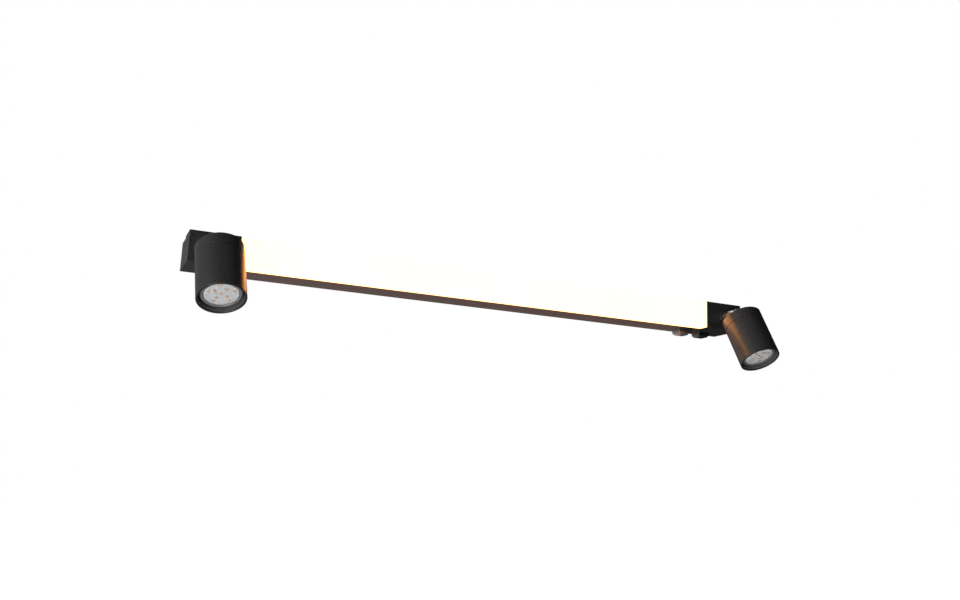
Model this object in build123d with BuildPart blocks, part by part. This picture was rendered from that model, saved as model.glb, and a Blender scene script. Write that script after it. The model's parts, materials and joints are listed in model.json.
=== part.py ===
from build123d import *
import os
from math import cos, radians, sin

os.makedirs("parts", exist_ok=True)

# Wall lamp: a lit diffuser bar between two end blocks, each block carrying a swivelling
# GU10 spot. Origin: centre of the wall bracket's screws, on the wall. X runs along the
# bar, -Y points into the room, +Z is up.

# ---- bar ----
bar_length = 860.0
base_depth = 30.0
base_height = 38.0
sheet = 1.5
front_y = -68.0
bottom_z = -base_height / 2
base_top_z = base_height / 2
block_length = 65.0
block_height = 41.5
block_wall = 2.0
block_mid_z = bottom_z + block_height / 2
block_x = bar_length / 2 - block_length / 2
housing_length = bar_length - 2 * block_length - 0.6
housing_height = 40.5
housing_top_z = bottom_z + housing_height
housing_mid_z = bottom_z + housing_height / 2
lit_depth = 19.0
lit_rear_y = front_y + lit_depth
opal_wall = 2.0
web_front_y = -base_depth - 1.8
seam_gap = 0.3

# ---- wall bracket ----
bracket_length = 700.0
bracket_height = 28.0
bracket_thickness = 2.0
wall_screw_x = 300.0
slot_radius = 2.6
slot_length = 14.0
cable_x = 60.0
cable_hole_radius = 9.0
grommet_bore = 4.5
lead_hole_x = 411.5
lead_hole_z = 8.0
driver_hole_x = 140.0
lock_screw_y = -23.0

# ---- fasteners ----
block_screw_x = 22.0
block_screw_high = 14.0
block_screw_low = -12.0
housing_screw_pitch = 220.0
housing_screw_rise = 24.0
carrier_screw_pitch = 230.0
carrier_screw_rise = 32.0
screw_radius = 1.2
tapped_radius = 1.25
clear_radius = 1.7
screw_head_radius = 2.7
screw_head_height = 1.8
earth_x = 165.0
lug_sheet = 0.8
crimp_y = -4.0
crimp_z = 10.0

# ---- terminal block ----
terminal_x = 110.0
terminal_pitch = 11.0
terminal_rise = 9.0
terminal_front = 18.2
wire_y = -8.0

# ---- spots ----
spot_radius = 30.0
spot_length = 79.0
cap_height = 15.0
tube_bore = 27.3
arm_length = 37.0
hinge_above_cap = 9.5
arm_radius = 6.0
shank_radius = 5.0
pin_radius = 2.0
run_clearance = 0.05
eye_half = 2.5
cheek_inner = 3.3
cheek_outer = 6.3
knuckle_radius = 6.2
lamp_radius = 25.0
lens_radius = 21.0
lens_recess = 6.2
cap_top = -hinge_above_cap
seam = cap_top - cap_height
mouth = cap_top - spot_length
lens_front = mouth + lens_recess
lens_sheet = 1.0
board_sheet = 1.6
board_rear = lens_front + 3.0
spot_tilt = 28.0
swivel_left = 2.0
swivel_right = 4.0

# ---- push switches under the bar ----
switch_x_left = 352.0
switch_x_right = 390.0
switch_y = -16.0
switch_side = 20.0
bezel_height = 5.5
button_proud = 2.0
button_side = 16.6
tab_spread = 4.0
core_low_z = bottom_z + 10.7
core_top_z = core_low_z + 12.0
tab_top_z = core_top_z + 5.0


def save(part, name):
    part.label = name
    export_step(part, f"parts/{name}.step")


def block_screw_places(side):
    """The two screws of one end block, as x and z on the wall box's web."""
    inner = (side * (block_x - block_screw_x), block_screw_high)
    outer = (side * (block_x + block_screw_x), block_screw_low)
    return inner, outer


# =============== wall side ===============
with BuildPart() as wall_bracket:
    with BuildSketch(Plane.XZ):
        Rectangle(bracket_length, bracket_height)
        with Locations((-wall_screw_x, 0), (wall_screw_x, 0)):
            SlotOverall(slot_length, 2 * slot_radius, mode=Mode.SUBTRACT)
        with Locations((cable_x, 0)):
            Circle(cable_hole_radius, mode=Mode.SUBTRACT)
        with Locations((earth_x, 0)):
            Circle(2.05, mode=Mode.SUBTRACT)
    extrude(amount=bracket_thickness)
    # lower lug that takes the locking screw
    with BuildSketch(Plane.XY.offset(-17.2)):
        with Locations((0, -13.6)):
            RectangleRounded(26, 27.2, 2.5)
    extrude(amount=2.0)
    with BuildSketch(Plane.XZ):
        with Locations((0, -15.6)):
            Rectangle(26, 3.2)
    extrude(amount=bracket_thickness)
    # two upper tabs that carry the wall box
    with BuildSketch(Plane.XY.offset(15.3)):
        with Locations((-200, -7), (200, -7)):
            RectangleRounded(30, 13.6, 2.0)
    extrude(amount=2.0)
    with BuildSketch(Plane.XZ):
        with Locations((-200, 15.6), (200, 15.6)):
            Rectangle(30, 3.4)
    extrude(amount=bracket_thickness)
    with BuildSketch(Plane.XY.offset(-18)):
        with Locations((0, lock_screw_y)):
            Circle(2.05)
    extrude(amount=4, mode=Mode.SUBTRACT)
save(wall_bracket.part, "wall_bracket")

with BuildPart() as wall_box:
    with BuildSketch(Plane.XZ):
        Rectangle(bar_length, base_height)
    extrude(amount=base_depth)
    with BuildSketch(Plane.XZ):
        Rectangle(bar_length - 2 * sheet, base_height - 2 * sheet)
    extrude(amount=base_depth - sheet, mode=Mode.SUBTRACT)
    fillet(wall_box.edges().filter_by(Axis.X).group_by(Axis.Y)[0], 0.6)
    # web: lead holes to each block and to the light housing, screw holes
    with BuildSketch(Plane.XZ.offset(base_depth - 4)):
        with Locations((-lead_hole_x, lead_hole_z), (lead_hole_x, lead_hole_z), (driver_hole_x, 0)):
            Circle(5.0)
        for side in (-1, 1):
            with Locations(*block_screw_places(side)):
                Circle(clear_radius)
        with GridLocations(housing_screw_pitch, housing_screw_rise, 4, 2):
            Circle(clear_radius)
    extrude(amount=8, mode=Mode.SUBTRACT)
    # underside: switch necks and the locking screw
    with BuildSketch(Plane.XY.offset(bottom_z - 1)):
        with Locations((switch_x_left, switch_y), (switch_x_right, switch_y)):
            Circle(8.0)
        with Locations((0, lock_screw_y)):
            Circle(2.4)
    extrude(amount=4, mode=Mode.SUBTRACT)
save(wall_box.part, "wall_box")

with BuildPart() as cable_grommet:
    with BuildSketch(Plane.XY):
        with BuildLine():
            Polyline(
                (grommet_bore, -0.2),
                (8.8, -0.2),
                (8.8, -2.1),
                (11.0, -2.1),
                (11.0, -4.0),
                (6.5, -5.2),
                (grommet_bore, -5.2),
                close=True,
            )
        make_face()
    revolve(axis=Axis.Y)
cable_grommet.part = Pos(cable_x, 0, 0) * cable_grommet.part
save(cable_grommet.part, "cable_grommet")

with BuildPart() as terminal_block:
    with Locations((terminal_x, -10.2, 0)):
        Box(36, 16, 18)
    fillet(terminal_block.edges().filter_by(Axis.Y), 1.0)
    with BuildSketch(Plane.XZ.offset(terminal_front)):
        with Locations((terminal_x, 0)):
            with GridLocations(terminal_pitch, terminal_rise, 3, 2):
                Circle(2.2)
    extrude(amount=-7, mode=Mode.SUBTRACT)
    with BuildSketch(Plane.XY.offset(9.0)):
        with Locations((terminal_x, wire_y)):
            with GridLocations(terminal_pitch, 1, 3, 1):
                Circle(1.7)
    extrude(amount=-18, mode=Mode.SUBTRACT)
save(terminal_block.part, "terminal_block")

with BuildPart() as terminal_screws:
    with BuildSketch(Plane.XZ.offset(terminal_front - 1.2)):
        with Locations((terminal_x, 0)):
            with GridLocations(terminal_pitch, terminal_rise, 3, 2):
                Circle(1.9)
    extrude(amount=-5.6)
    with BuildSketch(Plane.XZ.offset(terminal_front - 1.2)):
        with Locations((terminal_x, 0)):
            with GridLocations(terminal_pitch, terminal_rise, 3, 2):
                Rectangle(3.4, 0.6)
    extrude(amount=-0.8, mode=Mode.SUBTRACT)
save(terminal_screws.part, "terminal_screws")

with BuildPart() as earth_screw:
    with BuildSketch(Plane.XZ.offset(0.2)):
        with Locations((earth_x, 0)):
            Circle(2.0)
    extrude(amount=3.8)
    # toothed washer under the pan head
    with BuildSketch(Plane.XZ.offset(bracket_thickness + lug_sheet)):
        with Locations((earth_x, 0)):
            Circle(4.2)
            with PolarLocations(4.2, 12):
                Rectangle(0.9, 0.7)
    extrude(amount=0.8)
    with BuildSketch(Plane.XZ.offset(bracket_thickness + lug_sheet + 0.8)):
        with Locations((earth_x, 0)):
            Circle(3.8)
    extrude(amount=2.6)
    with BuildSketch(Plane.XZ.offset(bracket_thickness + lug_sheet + 3.4)):
        with Locations((earth_x, 0)):
            Rectangle(5.0, 0.9)
            Rectangle(0.9, 5.0)
    extrude(amount=-1.2, mode=Mode.SUBTRACT)
# ring terminal crimped on the earth lead
with BuildPart() as earth_lug:
    with BuildSketch(Plane.XZ.offset(bracket_thickness)):
        with Locations((earth_x, 0)):
            Circle(4.0)
        with Locations((earth_x, 5.0)):
            Rectangle(3.2, 6.0)
        with Locations((earth_x, 0)):
            Circle(2.1, mode=Mode.SUBTRACT)
    extrude(amount=lug_sheet)
    with BuildSketch(Plane.XY.offset(crimp_z)):
        with Locations((earth_x, crimp_y)):
            Circle(1.7)
    extrude(amount=-3.5)
earth_terminal = Compound(children=[earth_screw.part, earth_lug.part])
save(earth_terminal, "earth_terminal")


def lead(points, radius, bend=3.0):
    """One insulated lead laid along straight runs with soft bends."""
    with BuildPart() as strand:
        with BuildLine() as path:
            FilletPolyline(*points, radius=bend)
        with BuildSketch(Plane(origin=path.line @ 0, z_dir=path.line % 0)):
            Circle(radius)
        sweep()
    return strand.part


core_radius = 1.2
live_x = terminal_x - terminal_pitch
right_x = terminal_x + terminal_pitch
earth_run = [
    (right_x, wire_y, 9.1),
    (right_x, wire_y, 14.6),
    (earth_x, crimp_y, 14.6),
    (earth_x, crimp_y, crimp_z),
]
save(lead(earth_run, core_radius), "earth_lead")


high_z = 13.0


def switch_run(start_x, switch_x, run_y):
    """From a terminal's upper side along the top of the box and down onto a switch's tab."""
    tab_x = switch_x - tab_spread
    return [
        (start_x, wire_y, 9.1),
        (start_x, wire_y, high_z),
        (start_x, run_y, high_z),
        (tab_x - 8, run_y, high_z),
        (tab_x, switch_y, high_z),
        (tab_x, switch_y, tab_top_z + 0.1),
    ]


to_left_switch = lead(switch_run(terminal_x, switch_x_left, -20.5), 1.1)
to_right_switch = lead(switch_run(live_x, switch_x_right, -23.5), 1.1)
save(Compound(children=[to_left_switch, to_right_switch]), "switch_leads")

lead_low = -13.2
left_run = [
    (live_x, wire_y, -9.2),
    (live_x, wire_y, lead_low),
    (-404, wire_y, lead_low),
    (-lead_hole_x, -18, lead_hole_z),
]
right_run = [
    (right_x, wire_y, -9.2),
    (right_x, wire_y, lead_low),
    (300, wire_y, lead_low),
    (325, -12, 13),
    (lead_hole_x - 8, -12, 13),
    (lead_hole_x, -20, lead_hole_z),
]
for side, run in ((-1, left_run), (1, right_run)):
    name = "spot_lead_left" if side < 0 else "spot_lead_right"
    run = run + [(side * lead_hole_x, -42, lead_hole_z), (side * block_x, -49, block_mid_z)]
    run = run + [(side * block_x, -55.5, block_mid_z)]
    save(lead(run, 1.8), name)

with BuildPart() as lock_screw:
    with BuildSketch(Plane.XY.offset(bottom_z + 0.4)):
        with Locations((0, lock_screw_y)):
            Circle(2.0)
    extrude(amount=6.5)
    with BuildSketch(Plane.XY.offset(bottom_z + 0.4)):
        with Locations((0, lock_screw_y)):
            RegularPolygon(1.15, 6)
    extrude(amount=2.2, mode=Mode.SUBTRACT)
save(lock_screw.part, "lock_screw")

# =============== light bar ===============
with BuildPart() as light_housing:
    with BuildSketch(Plane.YZ.offset(-housing_length / 2)):
        with Locations((-base_depth - 0.9, housing_mid_z)):
            Rectangle(1.8, housing_height)
        with Locations(((lit_rear_y - base_depth) / 2, bottom_z + sheet / 2)):
            Rectangle(lit_depth, sheet)
        with Locations(((lit_rear_y - base_depth) / 2, housing_top_z - sheet / 2)):
            Rectangle(lit_depth, sheet)
        with Locations((-42.0, bottom_z + 2.6), (-42.0, housing_top_z - 2.6)):
            Rectangle(1.0, 2.6)
    extrude(amount=housing_length)
    with BuildSketch(Plane.XZ.offset(base_depth - 1)):
        with Locations((driver_hole_x, 0)):
            Circle(5.0)
        with GridLocations(housing_screw_pitch, housing_screw_rise, 4, 2):
            Circle(tapped_radius)
    extrude(amount=4, mode=Mode.SUBTRACT)
    with BuildSketch(Plane.XZ.offset(base_depth - 1)):
        with Locations((0, housing_mid_z)):
            with GridLocations(carrier_screw_pitch, carrier_screw_rise, 4, 2):
                Circle(tapped_radius)
    extrude(amount=4, mode=Mode.SUBTRACT)
save(light_housing.part, "light_housing")

with BuildPart() as housing_screws:
    with BuildSketch(Plane.XZ.offset(base_depth - sheet)):
        with GridLocations(housing_screw_pitch, housing_screw_rise, 4, 2):
            Circle(screw_head_radius)
    extrude(amount=-screw_head_height)
    with BuildSketch(Plane.XZ.offset(base_depth - sheet)):
        with GridLocations(housing_screw_pitch, housing_screw_rise, 4, 2):
            Circle(screw_radius)
    extrude(amount=3.2)
    with BuildSketch(Plane.XZ.offset(base_depth - sheet - screw_head_height)):
        with GridLocations(housing_screw_pitch, housing_screw_rise, 4, 2):
            Rectangle(3.4, 0.6)
            Rectangle(0.6, 3.4)
    extrude(amount=0.8, mode=Mode.SUBTRACT)
save(housing_screws.part, "housing_screws")

opal_rear_y = lit_rear_y - seam_gap
with BuildPart() as led_diffuser:
    with BuildSketch(Plane.YZ.offset(-housing_length / 2)):
        with BuildLine():
            Polyline(
                (opal_rear_y, bottom_z),
                (front_y, bottom_z),
                (front_y, housing_top_z),
                (opal_rear_y, housing_top_z),
                (opal_rear_y, housing_top_z - opal_wall),
                (front_y + opal_wall, housing_top_z - opal_wall),
                (front_y + opal_wall, bottom_z + opal_wall),
                (opal_rear_y, bottom_z + opal_wall),
                close=True,
            )
        make_face()
        # inner tongues that slide behind the housing's edges
        with Locations((-47.4, bottom_z + 2.3), (-47.4, housing_top_z - 2.3)):
            Rectangle(9.4, 1.2)
    extrude(amount=housing_length)
    fillet(led_diffuser.edges().filter_by(Axis.X).group_by(Axis.Y)[0], 1.0)
save(led_diffuser.part, "led_diffuser")

carrier_length = 724.0
carrier_bottom = housing_mid_z - 13.0
carrier_top = housing_mid_z + 13.0
carrier_front_y = -52.0
with BuildPart() as led_carrier:
    with BuildSketch(Plane.YZ.offset(-carrier_length / 2)):
        with BuildLine():
            Polyline(
                (web_front_y, carrier_bottom - 4.5),
                (web_front_y - sheet, carrier_bottom - 4.5),
                (web_front_y - sheet, carrier_bottom),
                (carrier_front_y, carrier_bottom),
                (carrier_front_y, carrier_top),
                (web_front_y - sheet, carrier_top),
                (web_front_y - sheet, carrier_top + 4.5),
                (web_front_y, carrier_top + 4.5),
                (web_front_y, carrier_top - sheet),
                (carrier_front_y + sheet, carrier_top - sheet),
                (carrier_front_y + sheet, carrier_bottom + sheet),
                (web_front_y, carrier_bottom + sheet),
                close=True,
            )
        make_face()
    extrude(amount=carrier_length)
    with BuildSketch(Plane.XZ.offset(-web_front_y - 1)):
        with Locations((0, housing_mid_z)):
            with GridLocations(carrier_screw_pitch, carrier_screw_rise, 4, 2):
                Circle(1.6)
    extrude(amount=4, mode=Mode.SUBTRACT)
    with BuildSketch(Plane.XZ.offset(49)):
        with Locations((0, housing_mid_z)):
            Circle(1.8)
    extrude(amount=4, mode=Mode.SUBTRACT)
save(led_carrier.part, "led_carrier")

with BuildPart() as carrier_screws:
    with BuildSketch(Plane.XZ.offset(-web_front_y + sheet)):
        with Locations((0, housing_mid_z)):
            with GridLocations(carrier_screw_pitch, carrier_screw_rise, 4, 2):
                Circle(1.9)
    extrude(amount=1.4)
    with BuildSketch(Plane.XZ.offset(-web_front_y + sheet)):
        with Locations((0, housing_mid_z)):
            with GridLocations(carrier_screw_pitch, carrier_screw_rise, 4, 2):
                Circle(screw_radius)
    extrude(amount=-3.2)
save(carrier_screws.part, "carrier_screws")

board_length = 356.0
with BuildPart() as led_boards:
    with BuildSketch(Plane.XZ.offset(-carrier_front_y)):
        with Locations((-board_length / 2 - 2, housing_mid_z), (board_length / 2 + 2, housing_mid_z)):
            Rectangle(board_length, 20)
    extrude(amount=1.6)
save(led_boards.part, "led_boards")

with BuildPart() as led_chips:
    with BuildSketch(Plane.XZ.offset(-carrier_front_y + 1.6)):
        for middle in (-board_length / 2 - 2, board_length / 2 + 2):
            with Locations((middle, housing_mid_z)):
                with GridLocations(13.5, 9, 26, 2):
                    Rectangle(3.5, 2.8)
    extrude(amount=0.8)
save(led_chips.part, "led_chips")

driver_x = 30.0
driver_end = 75.0
with BuildPart() as led_driver:
    with BuildSketch(Plane.XZ.offset(-web_front_y + 0.3)):
        with Locations((driver_x, housing_mid_z)):
            RectangleRounded(2 * driver_end, 21, 2)
    extrude(amount=14)
    with BuildSketch(Plane.XZ.offset(-web_front_y + 0.3)):
        with Locations((driver_x, housing_mid_z)):
            RectangleRounded(2 * driver_end + 20, 12, 2)
            with Locations((-driver_end - 5, 0), (driver_end + 5, 0)):
                Circle(1.8, mode=Mode.SUBTRACT)
    extrude(amount=2)
    chamfer(led_driver.faces().sort_by(Axis.Y)[0].edges(), 0.8)
save(led_driver.part, "led_driver")

lead_y = -40.0
driver_run = [
    (terminal_x, wire_y, -9.2),
    (terminal_x, wire_y, -13.5),
    (terminal_x, -14.5, -14),
    (134, -14.5, -14),
    (driver_hole_x, -14.5, 0),
    (driver_hole_x, lead_y, 0),
    (driver_x + driver_end + 0.2, lead_y, housing_mid_z),
]
save(lead(driver_run, 1.6, 2.0), "driver_lead")
led_lead_y = -48.3
led_run = [
    (driver_x - driver_end - 0.2, lead_y, housing_mid_z),
    (driver_x - driver_end - 9, lead_y, housing_mid_z),
    (driver_x - driver_end - 9, led_lead_y, housing_mid_z),
    (0, led_lead_y, housing_mid_z),
    (0, -54, housing_mid_z),
]
save(lead(led_run, 0.9, 2.5), "led_lead")

# =============== end blocks ===============
for side, name in ((-1, "end_block_left"), (1, "end_block_right")):
    middle = side * block_x
    with BuildPart() as end_block:
        with BuildSketch(Plane.XZ.offset(base_depth)):
            with Locations((middle, block_mid_z)):
                Rectangle(block_length, block_height)
        extrude(amount=-front_y - base_depth)
        chamfer(end_block.edges(), 0.4)
        with BuildSketch(Plane.XZ.offset(base_depth)):
            with Locations((middle, block_mid_z)):
                Rectangle(block_length - 2 * block_wall, block_height - 2 * block_wall)
        extrude(amount=-front_y - base_depth - block_wall, mode=Mode.SUBTRACT)
        # screw bosses
        with BuildSketch(Plane.XZ.offset(base_depth + 0.2)):
            with Locations(*block_screw_places(side)):
                Circle(3.6)
        extrude(amount=-front_y - base_depth - block_wall)
        with BuildSketch(Plane.XZ.offset(base_depth)):
            with Locations(*block_screw_places(side)):
                Circle(tapped_radius)
        extrude(amount=14, mode=Mode.SUBTRACT)
        # stem hole through the front
        with BuildSketch(Plane.XZ.offset(-front_y + 1)):
            with Locations((middle, block_mid_z)):
                Circle(shank_radius + run_clearance)
        extrude(amount=-4, mode=Mode.SUBTRACT)
    save(end_block.part, name)

with BuildPart() as block_screws:
    for side in (-1, 1):
        with BuildSketch(Plane.XZ.offset(base_depth - sheet)):
            with Locations(*block_screw_places(side)):
                Circle(screw_head_radius)
        extrude(amount=-screw_head_height)
        with BuildSketch(Plane.XZ.offset(base_depth - sheet)):
            with Locations(*block_screw_places(side)):
                Circle(screw_radius)
        extrude(amount=12)
save(block_screws.part, "block_screws")

# =============== push switches ===============
for x, side in ((switch_x_left, "left"), (switch_x_right, "right")):
    spot = (x, switch_y)
    bezel_low = bottom_z - bezel_height
    with BuildPart() as bezel:
        with BuildSketch(Plane.XY.offset(bottom_z)):
            with Locations(spot):
                RectangleRounded(switch_side, switch_side, 0.8)
        extrude(amount=-bezel_height)
        chamfer(bezel.faces().sort_by(Axis.Z)[0].edges(), 0.4)
        with BuildSketch(Plane.XY.offset(bottom_z)):
            with Locations(spot):
                Circle(7.8)
        extrude(amount=10.5)
        with BuildSketch(Plane.XY.offset(bezel_low)):
            with Locations(spot):
                RectangleRounded(button_side + 0.7, button_side + 0.7, 0.8)
        extrude(amount=4.0, mode=Mode.SUBTRACT)
        with BuildSketch(Plane.XY.offset(bezel_low)):
            with Locations(spot):
                Circle(3.5)
        extrude(amount=30, mode=Mode.SUBTRACT)
    save(bezel.part, f"switch_bezel_{side}")

    with BuildPart() as nut:
        with BuildSketch(Plane.XY.offset(bottom_z + sheet)):
            with Locations(spot):
                RegularPolygon(11.0, 6)
                Circle(7.85, mode=Mode.SUBTRACT)
        extrude(amount=2.5)
    save(nut.part, f"switch_nut_{side}")

    with BuildPart() as core:
        with BuildSketch(Plane.XY.offset(core_low_z)):
            with Locations(spot):
                RectangleRounded(15, 15, 1.0)
        extrude(amount=core_top_z - core_low_z)
        with BuildSketch(Plane.XY.offset(core_top_z)):
            with Locations((x - tab_spread, switch_y), (x + tab_spread, switch_y)):
                Rectangle(0.8, 4.8)
        extrude(amount=tab_top_z - core_top_z)
        with BuildSketch(Plane.XY.offset(core_low_z)):
            with Locations(spot):
                Circle(3.6)
        extrude(amount=5, mode=Mode.SUBTRACT)
    save(core.part, f"switch_core_{side}")

    with BuildPart() as button:
        with BuildSketch(Plane.XY.offset(bezel_low - button_proud)):
            with Locations(spot):
                RectangleRounded(button_side, button_side, 0.6)
        extrude(amount=4.0)
        chamfer(button.faces().sort_by(Axis.Z)[0].edges(), 0.5)
        with BuildSketch(Plane.XY.offset(bezel_low + 1.9)):
            with Locations(spot):
                Circle(3.2)
        extrude(amount=15.5)
    save(button.part, f"switch_button_{side}")

# =============== swivelling spots ===============
for side, name, swivel in ((-1, "left", swivel_left), (1, "right", swivel_right)):
    face = Vector(side * block_x, front_y, block_mid_z)
    roll = radians(swivel)
    lean = radians(spot_tilt)
    hinge_dir = Vector(cos(roll), 0, sin(roll))
    stem_plane = Plane(origin=face, x_dir=hinge_dir, z_dir=(0, -1, 0))
    hinge = Vector(side * block_x, front_y - arm_length, block_mid_z)
    up = Vector(-sin(roll) * cos(lean), sin(lean), cos(roll) * cos(lean))
    rear = up.cross(hinge_dir)
    spot_plane = Plane(origin=hinge, x_dir=hinge_dir, z_dir=up)
    turn_plane = Plane(origin=hinge, x_dir=hinge_dir, z_dir=rear * -1)
    turn_axis = Axis(hinge, up)
    knuckle_plane = Plane(origin=hinge, x_dir=rear, z_dir=hinge_dir)
    arm_plane = Plane(origin=hinge, x_dir=(0, 1, 0), z_dir=hinge_dir)
    exit_plane = Plane(origin=face + Vector(0, -16, 0), x_dir=hinge_dir, z_dir=stem_plane.y_dir * -1)

    # collar fixed to the block's face
    with BuildPart() as collar:
        with BuildSketch(stem_plane):
            Circle(9.0)
        extrude(amount=2.0)
        chamfer(collar.edges().group_by(Axis.Y)[0], 0.5)
        with BuildSketch(stem_plane):
            Circle(shank_radius + run_clearance)
        extrude(amount=3, mode=Mode.SUBTRACT)
    save(collar.part, f"stem_collar_{name}")

    # stem: shank through the block, arm, flat eye at the hinge
    with BuildPart() as stem:
        with BuildSketch(stem_plane.offset(-12)):
            Circle(shank_radius)
        extrude(amount=15)
        with BuildSketch(stem_plane.offset(2.3)):
            Circle(arm_radius)
        extrude(amount=arm_length - 2.3 - knuckle_radius - 1.4)
        chamfer(stem.edges().group_by(Axis.Y)[0], 0.6)
        with BuildSketch(arm_plane.offset(-eye_half)):
            Circle(knuckle_radius)
            with Locations((6, 0)):
                Rectangle(12, 1.7 * arm_radius)
        extrude(amount=2 * eye_half)
        with BuildSketch(arm_plane.offset(-eye_half)):
            Circle(pin_radius + run_clearance)
        extrude(amount=2 * eye_half, mode=Mode.SUBTRACT)
        # lead way through the shank and out under the arm
        with BuildSketch(stem_plane.offset(-12)):
            Circle(3.0)
        extrude(amount=30, mode=Mode.SUBTRACT)
        with BuildSketch(exit_plane):
            Circle(2.4)
        extrude(amount=8, mode=Mode.SUBTRACT)
    save(stem.part, f"spot_stem_{name}")

    with BuildPart() as stem_nut:
        with BuildSketch(stem_plane.offset(-block_wall - 0.3)):
            Circle(8.5)
            Circle(shank_radius + run_clearance, mode=Mode.SUBTRACT)
        extrude(amount=-1.0)
        with BuildSketch(stem_plane.offset(-block_wall - 1.3)):
            RegularPolygon(8.0, 6)
            Circle(shank_radius + run_clearance, mode=Mode.SUBTRACT)
        extrude(amount=-4.0)
    save(stem_nut.part, f"stem_nut_{name}")

    # cap with the hinge fork
    with BuildPart() as cap:
        with BuildSketch(turn_plane):
            with BuildLine():
                Polyline(
                    (0, cap_top),
                    (spot_radius - 0.8, cap_top),
                    (spot_radius, cap_top - 0.8),
                    (spot_radius, seam + 0.3),
                    (spot_radius - 0.3, seam),
                    (tube_bore - 0.05, seam),
                    (tube_bore - 0.05, seam - 6),
                    (tube_bore - 1.9, seam - 6),
                    (tube_bore - 1.9, cap_top - 3),
                    (0, cap_top - 3),
                    close=True,
                )
            make_face()
        revolve(axis=turn_axis)
        for cheek in (cheek_inner, -cheek_outer):
            with BuildSketch(knuckle_plane.offset(cheek)):
                Circle(knuckle_radius)
                with Locations((0, (cap_top - 0.5) / 2)):
                    Rectangle(2 * knuckle_radius, hinge_above_cap + 0.5)
            extrude(amount=cheek_outer - cheek_inner)
        with BuildSketch(knuckle_plane.offset(-cheek_outer)):
            Circle(pin_radius + run_clearance)
        extrude(amount=2 * cheek_outer, mode=Mode.SUBTRACT)
        with BuildSketch(spot_plane.offset(cap_top + 1)):
            with Locations((0, 13)):
                Circle(2.6)
        extrude(amount=-5, mode=Mode.SUBTRACT)
        with BuildSketch(spot_plane.offset(cap_top - 3)):
            with Locations((0, -5.5), (0, 5.5)):
                Circle(1.5)
        extrude(amount=2.2, mode=Mode.SUBTRACT)
    save(cap.part, f"spot_cap_{name}")

    with BuildPart() as hinge_screw:
        with BuildSketch(knuckle_plane.offset(-cheek_outer - 2.6)):
            Circle(pin_radius)
        extrude(amount=2 * cheek_outer + 2.6)
        with BuildSketch(knuckle_plane.offset(cheek_outer)):
            Circle(3.6)
        extrude(amount=2.4)
        with BuildSketch(knuckle_plane.offset(cheek_outer + 2.4)):
            RegularPolygon(1.5, 6)
        extrude(amount=-1.5, mode=Mode.SUBTRACT)
        with BuildSketch(knuckle_plane.offset(-cheek_outer)):
            RegularPolygon(4.0, 6)
        extrude(amount=-2.4)
    save(hinge_screw.part, f"hinge_screw_{name}")

    with BuildPart() as hinge_washers:
        for start in (cheek_inner - 0.5, -cheek_inner):
            with BuildSketch(knuckle_plane.offset(start)):
                Circle(5.4)
                Circle(pin_radius + run_clearance, mode=Mode.SUBTRACT)
            extrude(amount=0.5)
    save(hinge_washers.part, f"hinge_washers_{name}")

    with BuildPart() as tube:
        with BuildSketch(turn_plane):
            with BuildLine():
                Polyline(
                    (tube_bore, seam - 0.4),
                    (spot_radius - 0.3, seam - 0.4),
                    (spot_radius, seam - 0.7),
                    (spot_radius, mouth + 0.5),
                    (spot_radius - 0.5, mouth),
                    (tube_bore + 0.5, mouth),
                    (tube_bore, mouth + 0.5),
                    close=True,
                )
            make_face()
        revolve(axis=turn_axis)
    save(tube.part, f"spot_tube_{name}")

    holder_top = cap_top - 3
    holder_low = holder_top - 15
    with BuildPart() as lampholder:
        with BuildSketch(spot_plane.offset(holder_top)):
            Circle(14.0)
        extrude(amount=-15)
        chamfer(lampholder.edges(), 0.8)
        with BuildSketch(spot_plane.offset(holder_low)):
            with Locations((-5, 0), (5, 0)):
                Circle(2.9)
            with Locations((0, -5.5), (0, 5.5)):
                Circle(1.55)
        extrude(amount=10, mode=Mode.SUBTRACT)
        with BuildSketch(spot_plane.offset(holder_low + 9)):
            with Locations((0, -5.5), (0, 5.5)):
                Circle(1.55)
        extrude(amount=8, mode=Mode.SUBTRACT)
    save(lampholder.part, f"lampholder_{name}")

    with BuildPart() as holder_screws:
        with BuildSketch(spot_plane.offset(holder_low + 1)):
            with Locations((0, -5.5), (0, 5.5)):
                Circle(1.45)
        extrude(amount=16)
    save(holder_screws.part, f"holder_screws_{name}")

    base_top = holder_low - 0.3
    with BuildPart() as lamp_body:
        with BuildSketch(turn_plane):
            with BuildLine():
                Polyline(
                    (0, base_top),
                    (12.0, base_top),
                    (13.0, base_top - 1),
                    (13.0, base_top - 13),
                    (15.5, base_top - 17),
                    (22.5, lens_front + 14),
                    (24.4, lens_front + 7),
                    (lamp_radius, lens_front + 3),
                    (lamp_radius, lens_front + 0.8),
                    (lamp_radius - 1.2, lens_front - 0.6),
                    (lens_radius + 0.9, lens_front - 0.6),
                    (lens_radius + 0.1, lens_front + 0.2),
                    (lens_radius + 0.1, board_rear),
                    (0, board_rear),
                    close=True,
                )
            make_face()
        revolve(axis=turn_axis)
        # cooling slots round the back of the lamp
        with BuildSketch(spot_plane.offset(base_top - 30)):
            with PolarLocations(21.5, 16):
                Rectangle(8.0, 1.6)
        extrude(amount=14, mode=Mode.SUBTRACT)
    save(lamp_body.part, f"lamp_body_{name}")

    with BuildPart() as lamp_pins:
        with BuildSketch(spot_plane.offset(base_top)):
            with Locations((-5, 0), (5, 0)):
                Circle(1.5)
        extrude(amount=7)
        with BuildSketch(spot_plane.offset(base_top + 4.6)):
            with Locations((-5, 0), (5, 0)):
                Circle(2.3)
        extrude(amount=2.4)
    save(lamp_pins.part, f"lamp_pins_{name}")

    with BuildPart() as lamp_board:
        with BuildSketch(spot_plane.offset(board_rear)):
            Circle(lens_radius - 0.2)
        extrude(amount=-board_sheet)
    save(lamp_board.part, f"lamp_board_{name}")

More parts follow.
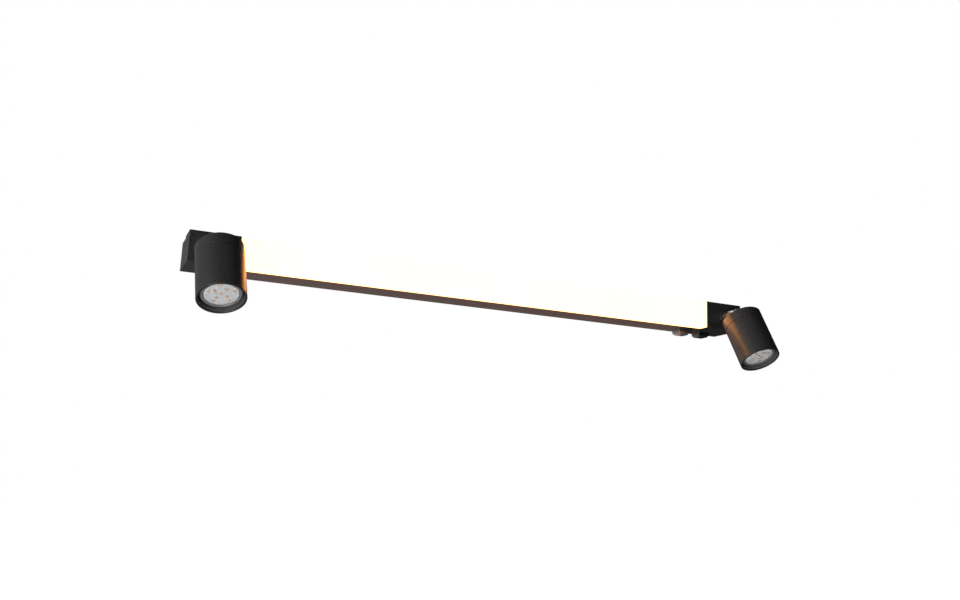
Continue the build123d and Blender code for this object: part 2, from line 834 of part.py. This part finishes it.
    with BuildPart() as lamp_leds:
        with BuildSketch(spot_plane.offset(board_rear - board_sheet)):
            Rectangle(2.8, 2.8)
            with PolarLocations(9.3, 4, start_angle=29):
                Rectangle(2.8, 2.8)
            with PolarLocations(16.0, 5, start_angle=44):
                Rectangle(2.8, 2.8)
        extrude(amount=-0.8)
    save(lamp_leds.part, f"lamp_leds_{name}")

    with BuildPart() as lamp_lens:
        with BuildSketch(spot_plane.offset(lens_front + 0.4)):
            Circle(lens_radius)
        extrude(amount=-lens_sheet)
        chamfer(lamp_lens.edges(), 0.2)
    save(lamp_lens.part, f"lamp_lens_{name}")
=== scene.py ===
import json
import math

import bmesh
import bpy
from mathutils import Matrix, Vector


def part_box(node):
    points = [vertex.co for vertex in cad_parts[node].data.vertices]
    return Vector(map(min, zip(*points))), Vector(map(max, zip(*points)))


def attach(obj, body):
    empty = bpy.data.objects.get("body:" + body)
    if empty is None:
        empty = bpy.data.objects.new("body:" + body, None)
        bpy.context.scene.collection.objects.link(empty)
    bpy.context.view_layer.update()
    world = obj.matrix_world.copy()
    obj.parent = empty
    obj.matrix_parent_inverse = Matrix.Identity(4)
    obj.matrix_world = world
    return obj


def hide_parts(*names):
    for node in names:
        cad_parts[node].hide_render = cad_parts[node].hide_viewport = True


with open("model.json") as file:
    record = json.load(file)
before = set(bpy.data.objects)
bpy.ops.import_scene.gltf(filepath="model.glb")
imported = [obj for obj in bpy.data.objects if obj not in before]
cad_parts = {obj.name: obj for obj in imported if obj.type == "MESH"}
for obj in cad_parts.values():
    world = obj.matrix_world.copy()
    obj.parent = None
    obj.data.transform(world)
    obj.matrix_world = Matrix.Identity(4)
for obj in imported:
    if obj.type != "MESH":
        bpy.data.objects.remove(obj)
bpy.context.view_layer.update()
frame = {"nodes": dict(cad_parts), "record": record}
scene = bpy.context.scene
nodes = frame["nodes"]
SIDES = ("left", "right")
MM = 0.001

# where the grey inner coat of a spot's tube, lightened as painted light on its inner wall, ends,
# from its axis and from its hinge, and how softly
TUBE_INNER = 27.5 * MM
TUBE_INNER_FADE = 0.1 * MM
TUBE_LIP = 87.0 * MM
TUBE_LIP_FADE = 0.4 * MM

# the opal cover: its ends and rear edge, how far in from each it dims, and its faint bands' pitch
OPAL_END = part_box("led_diffuser")[1][0]
OPAL_REAR = -49.3 * MM
OPAL_END_FADE = 1.6 * MM
OPAL_REAR_FADE = 4 * MM
OPAL_BANDS = 26.65 * MM
WAVES_PER_METRE = 20 / math.tau  # how many bands a wave texture makes at scale 1


def box_middle(node):
    low_corner, high_corner = (Vector(corner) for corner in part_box(node))
    return (low_corner + high_corner) / 2


def spot_axis(side):
    """The hinge point of a spot and the direction from there out of its mouth."""
    joints = {joint["name"]: joint for joint in frame["record"]["behaviour"]["joints"]}
    hinge = Vector(joints[f"tilt_{side}"]["pos_m"])
    return hinge, (box_middle(f"lamp_lens_{side}") - hinge).normalized()


# ---------------------------------------------------------------- materials
class Surface:
    """A Principled material with the procedural nodes that feed it.

    Patterns use object coordinates, in metres, so a scale of 1000 gives marks about 1 mm apart.
    """

    def __init__(self, name, **values):
        self.material = bpy.data.materials.new(name)
        self.material.use_nodes = True
        self.tree = self.material.node_tree
        self.shader = self.tree.nodes["Principled BSDF"]
        self.place = self.node("ShaderNodeTexCoord").outputs["Object"]
        self.normal = None
        for socket, value in values.items():
            self.shader.inputs[socket.replace("_", " ")].default_value = value

    def node(self, kind, **settings):
        made = self.tree.nodes.new(kind)
        for key, value in settings.items():
            setattr(made, key, value)
        return made

    def feed(self, node, socket, value):
        if isinstance(value, bpy.types.NodeSocket):
            self.tree.links.new(value, node.inputs[socket])
        else:
            node.inputs[socket].default_value = value

    def stretched(self, scale):
        mapping = self.node("ShaderNodeMapping")
        self.feed(mapping, "Vector", self.place)
        mapping.inputs["Scale"].default_value = scale
        return mapping.outputs["Vector"]

    def noise(self, scale, detail=2.0, stretch=None):
        made = self.node("ShaderNodeTexNoise")
        self.feed(made, "Vector", self.stretched(stretch) if stretch else self.place)
        made.inputs["Scale"].default_value = scale
        made.inputs["Detail"].default_value = detail
        return made.outputs["Fac"]

    def cells(self, scale):
        made = self.node("ShaderNodeTexVoronoi")
        self.feed(made, "Vector", self.place)
        made.inputs["Scale"].default_value = scale
        return made.outputs["Distance"]

    def vector(self, operation, first, second=None):
        """A vector operation's node. Its first output is a vector, and "Value" is a number."""
        made = self.node("ShaderNodeVectorMath", operation=operation)
        self.feed(made, 0, first)
        if second is not None:
            self.feed(made, 1, second)
        return made

    def reach(self, point, direction):
        """Distance from the line through point along direction, a unit vector."""
        offset = self.vector("SUBTRACT", self.place, point).outputs[0]
        across = self.vector("CROSS_PRODUCT", offset, direction).outputs[0]
        return self.vector("LENGTH", across).outputs["Value"]

    def along(self, point, direction):
        """Distance from point measured along direction, a unit vector."""
        offset = self.vector("SUBTRACT", self.place, point).outputs[0]
        return self.vector("DOT_PRODUCT", offset, direction).outputs["Value"]

    def spread(self, value, low, high, start=0.3, end=0.7):
        """Maps a pattern's usual span, start to end, onto low to high."""
        made = self.node("ShaderNodeMapRange")
        self.feed(made, "Value", value)
        made.inputs["From Min"].default_value = start
        made.inputs["From Max"].default_value = end
        made.inputs["To Min"].default_value = low
        made.inputs["To Max"].default_value = high
        return made.outputs["Result"]

    def maths(self, operation, first, second):
        made = self.node("ShaderNodeMath", operation=operation)
        self.feed(made, 0, first)
        self.feed(made, 1, second)
        return made.outputs[0]

    def mixed(self, share, first, second):
        made = self.node("ShaderNodeMix", data_type="RGBA")
        self.feed(made, 0, share)
        for socket, colour in ((6, first), (7, second)):
            linked = isinstance(colour, bpy.types.NodeSocket)
            self.feed(made, socket, colour if linked else (*colour, 1.0))
        return made.outputs[2]

    def edges(self, width=0.02):
        """1 on sharp outer edges, 0 elsewhere."""
        ridge = self.node("ShaderNodeNewGeometry").outputs["Pointiness"]
        return self.spread(ridge, 0.0, 1.0, 0.5 + width, 0.5 + 4 * width)

    def colour(self, value):
        self.feed(self.shader, "Base Color", value)

    def rough(self, value):
        self.feed(self.shader, "Roughness", value)

    def rounded(self, radius):
        """Shades sharp edges as if they had this radius."""
        bevel = self.node("ShaderNodeBevel", samples=4)
        bevel.inputs["Radius"].default_value = radius
        self.normal = bevel.outputs["Normal"]
        self.feed(self.shader, "Normal", self.normal)

    def bump(self, height, distance, strength=1.0):
        made = self.node("ShaderNodeBump")
        made.inputs["Distance"].default_value = distance
        made.inputs["Strength"].default_value = strength
        self.feed(made, "Height", height)
        if self.normal:
            self.feed(made, "Normal", self.normal)
        self.normal = made.outputs["Normal"]
        self.feed(self.shader, "Normal", self.normal)


def powder_coat(name="black_paint", inside=None):
    """Satin black powder coat: fine orange peel, faint handling marks, a painted highlight on the
    edges.

    inside is a spot's hinge point and direction. The paint within TUBE_INNER of that line is a grey
    inner coat, lightened as painted light on the inner wall, as far as TUBE_LIP from the hinge.
    """
    s = Surface(name, Specular_IOR_Level=0.52)
    cloud = s.noise(26, 4)
    base = s.mixed(s.spread(cloud, 0, 1), (0.0080, 0.0080, 0.0085), (0.0125, 0.0125, 0.0130))
    # painted highlight: sharp edges are lightened so they catch light as rounded edges would
    edge_wear_and_highlight = s.maths("MULTIPLY", s.edges(), s.spread(s.noise(420, 3), 0.1, 0.6))
    painted = s.mixed(edge_wear_and_highlight, base, (0.060, 0.059, 0.058))
    if inside:
        # painted light: a lighter grey on the inner wall stands in for the light inside the mouth;
        # the lip stays black
        within = s.spread(s.reach(*inside), 1, 0, TUBE_INNER, TUBE_INNER + TUBE_INNER_FADE)
        short = s.spread(s.along(*inside), 1, 0, TUBE_LIP, TUBE_LIP + TUBE_LIP_FADE)
        inner_grey_and_light_mask = s.maths("MULTIPLY", within, short)
        inner_grey_and_light = s.mixed(s.spread(s.noise(60, 3), 0, 1), (0.13, 0.13, 0.13), (0.17, 0.17, 0.168))
        painted = s.mixed(inner_grey_and_light_mask, painted, inner_grey_and_light)
    s.colour(painted)
    grain = s.spread(s.noise(2600, 2), -0.04, 0.04)
    s.rough(s.maths("ADD", s.spread(s.noise(55, 4), 0.35, 0.43), grain))
    s.rounded(0.35 * MM)
    s.bump(s.noise(900, 2), 0.03 * MM, 0.4)
    s.bump(s.cells(2300), 0.012 * MM, 0.3)
    return s.material


def lit_opal():
    """Opal extrusion lit from inside: warm, in faint bands, dimmer at its ends and rear edge."""
    s = Surface("opal")
    s.colour(s.mixed(s.noise(30, 3), (0.70, 0.64, 0.24), (0.66, 0.60, 0.22)))
    s.rough(s.spread(s.noise(140, 3), 0.28, 0.42))
    s.shader.inputs["Emission Color"].default_value = (1.0, 0.39, 0.122, 1.0)
    waves = s.node("ShaderNodeTexWave", bands_direction="X")
    s.feed(waves, "Vector", s.place)
    waves.inputs["Scale"].default_value = 1 / (OPAL_BANDS * WAVES_PER_METRE)
    glow = s.spread(waves.outputs["Fac"], 7.1, 7.3, 0, 1)
    across = s.node("ShaderNodeSeparateXYZ")
    s.feed(across, 0, s.place)
    rear = s.spread(across.outputs["Y"], 1.0, 0.08, OPAL_REAR - OPAL_REAR_FADE, OPAL_REAR)
    middle_distance = s.maths("ABSOLUTE", across.outputs["X"], 0.0)
    ends = s.spread(middle_distance, 1.0, 0.12, OPAL_END - OPAL_END_FADE, OPAL_END)
    glow = s.maths("MULTIPLY", glow, s.maths("MULTIPLY", rear, ends))
    uneven = s.spread(s.noise(9, 2), 0.98, 1.02)
    s.feed(s.shader, "Emission Strength", s.maths("MULTIPLY", glow, uneven))
    s.bump(s.noise(5200, 2), 0.004 * MM, 0.4)
    return s.material


def brushed(name, light, dark, along, low=0.2, high=0.36):
    """Metal brushed along one axis: long fine scratches, uneven sheen, brighter worn edges."""
    s = Surface(name, Metallic=1.0)
    stretch = tuple(0.03 if axis == along else 1.0 for axis in "xyz")
    scratch = s.noise(2600, 4, stretch)
    body = s.mixed(s.spread(scratch, 0, 1), dark, light)
    bare = tuple(min(1.0, channel * 1.25) for channel in light)
    s.colour(s.mixed(s.maths("MULTIPLY", s.edges(), 0.6), body, bare))
    s.rough(s.maths("ADD", s.spread(scratch, low, high), s.spread(s.noise(70, 3), -0.03, 0.05)))
    s.rounded(0.2 * MM)
    s.bump(scratch, 0.006 * MM, 0.5)
    return s.material


def zinc_plate():
    """Bright zinc plate: grey-blue with patches of yellow passivation, fine pickled grain."""
    s = Surface("zinc_steel", Metallic=1.0)
    patch = s.spread(s.noise(70, 5), 0, 1)
    body = s.mixed(patch, (0.50, 0.52, 0.55), (0.64, 0.63, 0.60))
    s.colour(s.mixed(s.spread(s.noise(190, 3), 0, 0.35), body, (0.66, 0.62, 0.50)))
    s.rough(s.spread(s.noise(260, 4), 0.26, 0.44))
    s.rounded(0.2 * MM)
    s.bump(s.noise(1700, 3), 0.01 * MM, 0.5)
    s.bump(s.noise(1500, 2, (0.05, 1, 1)), 0.006 * MM, 0.4)
    return s.material


def moulded(name, colour, shade, low, high, grain=1600, depth=0.015):
    """Moulded plastic or rubber: a slight mottle, spark-eroded grain and soft edges."""
    s = Surface(name)
    s.colour(s.mixed(s.spread(s.noise(45, 3), 0, 1), colour, shade))
    s.rough(s.spread(s.noise(320, 3), low, high))
    s.rounded(0.25 * MM)
    s.bump(s.noise(grain, 3), depth * MM, 0.5)
    return s.material


def blackened_steel():
    """Chemically blackened screws with bare metal showing on worn edges."""
    s = Surface("black_steel", Metallic=0.85)
    edge_wear_and_highlight = s.maths("MULTIPLY", s.edges(0.015), s.spread(s.noise(900, 3), 0.2, 0.9))
    s.colour(s.mixed(edge_wear_and_highlight, (0.035, 0.034, 0.036), (0.32, 0.31, 0.30)))
    s.rough(s.spread(s.noise(600, 3), 0.3, 0.5))
    s.rounded(0.15 * MM)
    s.bump(s.noise(2400, 3), 0.008 * MM, 0.5)
    return s.material


def clear_lens():
    """Moulded lens with a light frost, so part of the light stops at its face."""
    s = Surface("lens", Transmission_Weight=0.86, IOR=1.49)
    s.colour(s.mixed(s.noise(120, 2), (0.87, 0.88, 0.90), (0.91, 0.91, 0.92)))
    s.rough(s.spread(s.noise(700, 3), 0.08, 0.17))
    s.bump(s.noise(1900, 2), 0.006 * MM, 0.4)
    return s.material


def phosphor():
    """LED packages: yellow phosphor, slightly uneven."""
    s = Surface("phosphor")
    s.colour(s.mixed(s.spread(s.noise(800, 3), 0, 1), (0.85, 0.42, 0.10), (0.90, 0.52, 0.17)))
    s.rough(s.spread(s.noise(1500, 2), 0.22, 0.4))
    s.bump(s.noise(2600, 2), 0.01 * MM, 0.5)
    return s.material


def ceramic():
    """Unglazed steatite: chalky, fine pores, slightly soiled."""
    s = Surface("ceramic")
    body = s.mixed(s.spread(s.noise(110, 4), 0, 1), (0.74, 0.70, 0.62), (0.84, 0.81, 0.74))
    pores = s.spread(s.cells(1500), 0, 1, 0.02, 0.14)
    s.colour(s.mixed(pores, (0.52, 0.48, 0.41), body))
    s.rough(s.spread(s.noise(500, 3), 0.55, 0.8))
    s.bump(s.cells(1500), 0.02 * MM, 0.6)
    return s.material


def board():
    """White solder mask over copper: a faint relief of tracks and a fine weave."""
    s = Surface("board_white")
    tracks = s.node("ShaderNodeTexBrick")
    s.feed(tracks, "Vector", s.place)
    pattern = {"Scale": 90.0, "Mortar Size": 0.03, "Brick Width": 1.4, "Row Height": 0.5}
    for socket, value in pattern.items():
        tracks.inputs[socket].default_value = value
    s.colour(s.mixed(s.spread(s.noise(150, 3), 0, 1), (0.80, 0.81, 0.80), (0.86, 0.87, 0.86)))
    s.rough(s.spread(s.noise(900, 2), 0.3, 0.46))
    s.bump(tracks.outputs["Fac"], 0.02 * MM, 0.4)
    s.bump(s.noise(2400, 2), 0.006 * MM, 0.4)
    return s.material


def flexible(name, colour, shade, stripe=None):
    """PVC insulation with slight handling marks. stripe is a striped lead's second colour."""
    s = Surface(name)
    body = s.mixed(s.spread(s.noise(160, 3), 0, 1), colour, shade)
    if stripe:
        bands = s.spread(s.noise(420, 0, (0.08, 1, 1)), 0, 1, 0.48, 0.52)
        body = s.mixed(bands, body, stripe)
    s.colour(body)
    s.rough(s.spread(s.noise(380, 3), 0.36, 0.55))
    s.bump(s.noise(900, 3), 0.02 * MM, 0.5)
    return s.material


finishes = {
    "black_paint": powder_coat(),
    "opal": lit_opal(),
    "zinc_steel": zinc_plate(),
    "black_steel": blackened_steel(),
    "nickel": brushed("nickel", (0.42, 0.42, 0.42), (0.30, 0.30, 0.30), "x", 0.34, 0.46),
    "black_nickel": brushed("black_nickel", (0.20, 0.195, 0.19), (0.10, 0.10, 0.10), "x"),
    "aluminium": brushed("aluminium", (0.82, 0.83, 0.84), (0.62, 0.63, 0.64), "x", 0.28, 0.46),
    "board_white": board(),
    "phosphor": phosphor(),
    "driver_plastic": moulded("driver_plastic", (0.74, 0.74, 0.72), (0.66, 0.66, 0.64), 0.42, 0.58),
    "lamp_plastic": moulded(
        "lamp_plastic", (0.20, 0.20, 0.205), (0.25, 0.25, 0.255), 0.16, 0.28, 900
    ),
    "lens": clear_lens(),
    "ceramic": ceramic(),
    "contact": brushed("contact", (0.72, 0.60, 0.36), (0.50, 0.40, 0.22), "z", 0.2, 0.4),
    "rubber": moulded(
        "rubber", (0.028, 0.028, 0.028), (0.045, 0.044, 0.043), 0.6, 0.85, 1100, 0.03
    ),
    "nylon": moulded("nylon", (0.035, 0.035, 0.036), (0.055, 0.055, 0.056), 0.4, 0.6),
    "lead_insulation": flexible("lead_insulation", (0.62, 0.62, 0.60), (0.52, 0.52, 0.50)),
    "live_insulation": flexible("live_insulation", (0.13, 0.045, 0.018), (0.10, 0.032, 0.012)),
    "earth_insulation": flexible(
        "earth_insulation", (0.70, 0.60, 0.04), (0.62, 0.52, 0.03), (0.05, 0.25, 0.05)
    ),
}
for side in SIDES:
    finishes[f"spot_tube_{side}"] = powder_coat(f"spot_paint_{side}", spot_axis(side))
slot_of = {part["node"]: part["material_slot"] for part in frame["record"]["subparts"]}
for name, node in nodes.items():
    node.data.materials.clear()
    node.data.materials.append(finishes.get(name) or finishes[slot_of[name]])


# ---------------------------------------------------------------- lamp lenses
# heights are from the middle of the CAD lens, towards the mouth
LENS_RADIUS = 20.8 * MM
LENS_RINGS = 42
LENS_STEPS = 120
LENS_BACK = -0.6 * MM
LENS_EDGE = 0.5 * MM
LENS_EDGE_START = 0.97
DOME_RADIUS = 4.0 * MM
DOME_HEIGHT = 0.45 * MM
LED_CORNERS = 4.6 * MM


def led_places(side):
    """The middle of each LED of a lamp. Its corners lie within LED_CORNERS of each other."""
    groups = []
    for vert in nodes[f"lamp_leds_{side}"].data.vertices:
        near = [group for group in groups if (group[0] - vert.co).length < LED_CORNERS]
        if near:
            near[0].append(vert.co.copy())
        else:
            groups.append([vert.co.copy()])
    return [(Vector(map(min, *group)) + Vector(map(max, *group))) / 2 for group in groups]


def lens_height(point, lamps):
    """The lens's outer face at a point: a shallow dome over each LED, and a lower edge."""
    nearest = min(math.hypot(point.x - lamp.x, point.y - lamp.y) for lamp in lamps)
    dome = DOME_HEIGHT * max(0.0, 1 - (nearest / DOME_RADIUS) ** 2)
    rim = (point.length / LENS_RADIUS - LENS_EDGE_START) / (1 - LENS_EDGE_START)
    return dome - LENS_EDGE * max(0.0, rim) ** 2


def add_lens(side):
    """The lamp's moulded lens, in place of the CAD's flat disc."""
    outward = spot_axis(side)[1]
    turned = outward.to_track_quat("Z", "Y").to_matrix().to_4x4()
    place = Matrix.Translation(box_middle(f"lamp_lens_{side}")) @ turned
    lamps = [place.inverted() @ lamp for lamp in led_places(side)]
    shape = bmesh.new()

    def layer(height):
        """A face's middle vertex and its rings of vertices, at the height of each point."""
        rings = []
        for ring in range(1, LENS_RINGS + 1):
            row = []
            for step in range(LENS_STEPS):
                turn = math.tau * step / LENS_STEPS
                spoke = Vector((math.cos(turn), math.sin(turn), 0))
                point = spoke * LENS_RADIUS * ring / LENS_RINGS
                row.append(shape.verts.new(place @ Vector((point.x, point.y, height(point)))))
            rings.append(row)
        return shape.verts.new(place @ Vector((0, 0, height(Vector())))), rings

    def skin(middle, rings, flip):
        for step in range(LENS_STEPS):
            after = (step + 1) % LENS_STEPS
            first = [middle, rings[0][step], rings[0][after]]
            shape.faces.new(first[::-1] if flip else first)
            for inner, outer in zip(rings, rings[1:]):
                quad = [inner[step], outer[step], outer[after], inner[after]]
                shape.faces.new(quad[::-1] if flip else quad)

    front = layer(lambda point: lens_height(point, lamps))
    back = layer(lambda point: LENS_BACK)
    skin(*front, False)
    skin(*back, True)
    upper, lower = front[1][-1], back[1][-1]
    for step in range(LENS_STEPS):
        after = (step + 1) % LENS_STEPS
        shape.faces.new([upper[step], lower[step], lower[after], upper[after]])
    mesh = bpy.data.meshes.new(f"moulded_lens_{side}")
    shape.to_mesh(mesh)
    shape.free()
    mesh.shade_smooth()
    mesh.materials.append(finishes["lens"])
    lens = bpy.data.objects.new(mesh.name, mesh)
    scene.collection.objects.link(lens)
    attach(lens, f"spot_{side}")
    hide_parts(f"lamp_lens_{side}")


for side in SIDES:
    add_lens(side)


# ---------------------------------------------------------------- studio
CAMERA_PLACE = (-0.5658, -1.3050, -0.2909)
CAMERA_TURNS = (-23.54, 11.29, 2.33)  # yaw, pitch and roll, in degrees
CAMERA_LENS = 36.43
CAMERA_SENSOR = 36.0
FLOOR_Z = -1.2
FLOOR_RADIUS = 40.0

# the room's light from each side
ROOM_LEFT = 0.45
ROOM_RIGHT = 0.02
ROOM_BELOW = 0.14


def make_camera():
    data = bpy.data.cameras.new("camera")
    data.sensor_width = CAMERA_SENSOR
    data.lens = CAMERA_LENS
    camera = bpy.data.objects.new("camera", data)
    scene.collection.objects.link(camera)
    yaw, pitch, roll = (math.radians(angle) for angle in CAMERA_TURNS)
    camera.matrix_world = (
        Matrix.Translation(CAMERA_PLACE)
        @ Matrix.Rotation(yaw, 4, "Z")
        @ Matrix.Rotation(math.pi / 2 + pitch, 4, "X")
        @ Matrix.Rotation(roll, 4, "Z")
    )
    scene.camera = camera


def area_light(name, place, size, power, target=(0, 0, 0), colour=(1, 1, 1)):
    """A soft light. size is a disc's width, or a rectangle's two sides."""
    data = bpy.data.lights.new(name, "AREA")
    if isinstance(size, tuple):
        data.shape = "RECTANGLE"
        data.size, data.size_y = size
    else:
        data.shape = "DISK"
        data.size = size
    data.energy = power
    data.color = colour
    light = bpy.data.objects.new(name, data)
    scene.collection.objects.link(light)
    light.location = place
    light.rotation_euler = (Vector(target) - Vector(place)).to_track_quat("-Z", "Y").to_euler()


def make_world():
    """A dim room with its bright side to the left, against a white backdrop."""
    world = bpy.data.worlds.new("studio")
    scene.world = world
    world.use_nodes = True
    tree = world.node_tree
    tree.nodes.clear()
    direction = tree.nodes.new("ShaderNodeTexCoord").outputs["Generated"]
    split = tree.nodes.new("ShaderNodeSeparateXYZ")
    tree.links.new(direction, split.inputs[0])
    lobes = (("X", -1.0, 0.6, ROOM_LEFT, ROOM_RIGHT), ("Z", -1.0, -0.2, ROOM_BELOW, 0.0))
    fades = []
    for axis, *span in lobes:
        fade = tree.nodes.new("ShaderNodeMapRange")
        fade.interpolation_type = "SMOOTHSTEP"
        tree.links.new(split.outputs[axis], fade.inputs["Value"])
        for socket, value in zip(("From Min", "From Max", "To Min", "To Max"), span):
            fade.inputs[socket].default_value = value
        fades.append(fade.outputs[0])
    total = tree.nodes.new("ShaderNodeMath")
    for socket, fade in zip(total.inputs, fades):
        tree.links.new(fade, socket)
    room = tree.nodes.new("ShaderNodeBackground")
    tree.links.new(total.outputs[0], room.inputs["Strength"])
    backdrop = tree.nodes.new("ShaderNodeBackground")
    for background in (room, backdrop):
        background.inputs["Color"].default_value = (1, 1, 1, 1)
    seen = tree.nodes.new("ShaderNodeLightPath").outputs["Is Camera Ray"]
    blend = tree.nodes.new("ShaderNodeMixShader")
    tree.links.new(seen, blend.inputs[0])
    tree.links.new(room.outputs[0], blend.inputs[1])
    tree.links.new(backdrop.outputs[0], blend.inputs[2])
    output = tree.nodes.new("ShaderNodeOutputWorld")
    tree.links.new(blend.outputs[0], output.inputs["Surface"])


def make_floor():
    """A pale plane that lights nothing. It is clear from below, so it never hides the lamp."""
    mesh = bpy.data.meshes.new("floor")
    shape = bmesh.new()
    bmesh.ops.create_circle(shape, cap_ends=True, segments=96, radius=FLOOR_RADIUS)
    shape.to_mesh(mesh)
    shape.free()
    floor = bpy.data.objects.new("floor", mesh)
    floor.location.z = FLOOR_Z
    scene.collection.objects.link(floor)
    s = Surface("floor_paper", Roughness=0.9)
    s.colour(s.mixed(s.noise(1.5, 4), (0.86, 0.86, 0.85), (0.89, 0.89, 0.885)))
    s.shader.inputs["Emission Color"].default_value = (1, 1, 1, 1)
    s.shader.inputs["Emission Strength"].default_value = 0.9
    clear = s.node("ShaderNodeBsdfTransparent")
    pick = s.node("ShaderNodeMixShader")
    s.feed(pick, 0, s.node("ShaderNodeNewGeometry").outputs["Backfacing"])
    s.feed(pick, 1, s.shader.outputs[0])
    s.feed(pick, 2, clear.outputs[0])
    s.feed(s.tree.nodes["Material Output"], "Surface", pick.outputs[0])
    mesh.materials.append(s.material)
    floor.visible_diffuse = False
    floor.visible_glossy = False


make_camera()
make_world()
make_floor()
area_light("key", place=(-2.5, -0.8, 0.5), size=1.4, power=10)
area_light("top", place=(0.4, -0.6, 2.2), size=1.8, power=1)
area_light("fill", place=(-1.0, -1.2, -0.95), size=0.9, power=13)
area_light("back", place=(0.3, 1.8, 1.2), size=1.5, power=14)
# the bar's glow as a wall below and behind it would throw it back
area_light(
    "wall_bounce",
    place=(0, 0.006, -0.064),
    size=(0.74, 0.09),
    power=0.080,
    target=(0, -1, 0.10),
    colour=(1.0, 0.62, 0.53),
)
scene.view_settings.view_transform = "Standard"
